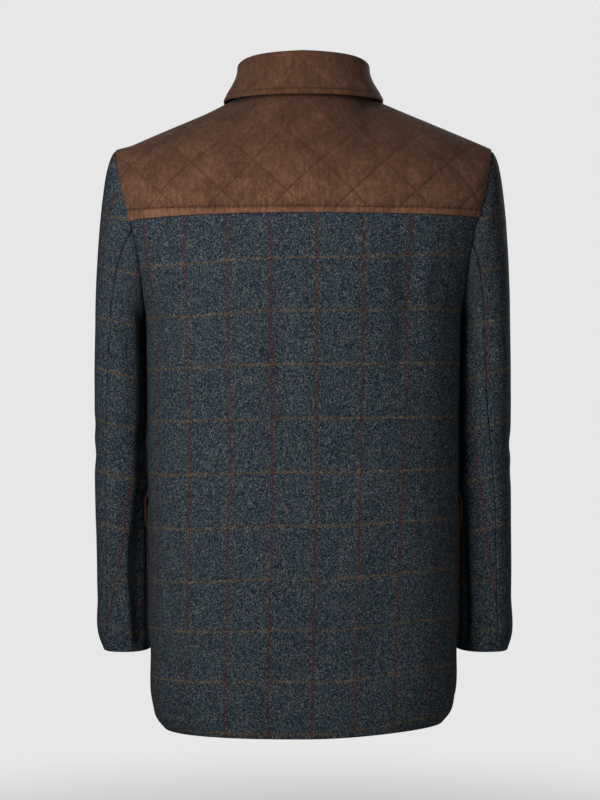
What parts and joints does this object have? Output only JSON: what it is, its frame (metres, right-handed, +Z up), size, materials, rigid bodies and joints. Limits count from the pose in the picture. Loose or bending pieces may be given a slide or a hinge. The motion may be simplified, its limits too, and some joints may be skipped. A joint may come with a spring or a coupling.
{
  "type": "field coat",
  "caption": "Hip-length tweed field coat with a windowpane check, quilted suede yoke, suede fold-down collar, two-piece sleeves and bellows pockets, filled out as worn.",
  "frame": {"origin": "middle of the shoulder line, level with the two neck points, where the wearer carries the coat", "axes": "+Z up along the coat's length, -Y out of the coat's front, +X to the wearer's left"},
  "size_m": [0.547, 0.273, 0.8671],
  "materials": {
    "tweed": "napped wool twill",
    "suede": "brushed suede nap",
    "horn": "satin"
  },
  "bodies": {
    "root": {"back": "tweed", "front_left": "tweed", "front_right": "tweed", "sleeve_top_left": "tweed", "sleeve_under_left": "tweed", "sleeve_top_right": "tweed", "sleeve_under_right": "tweed", "pocket_face_left": "tweed", "pocket_face_right": "tweed", "yoke_back": "suede", "yoke_front_left": "suede", "yoke_front_right": "suede", "collar_stand": "suede", "collar_fall": "suede", "pocket_gusset_left": "suede", "pocket_gusset_right": "suede", "pocket_flap_left": "suede", "pocket_flap_right": "suede", "button_1": "horn", "button_2": "horn", "button_3": "horn", "button_4": "horn", "button_5": "horn"}
  },
  "joints": []
}
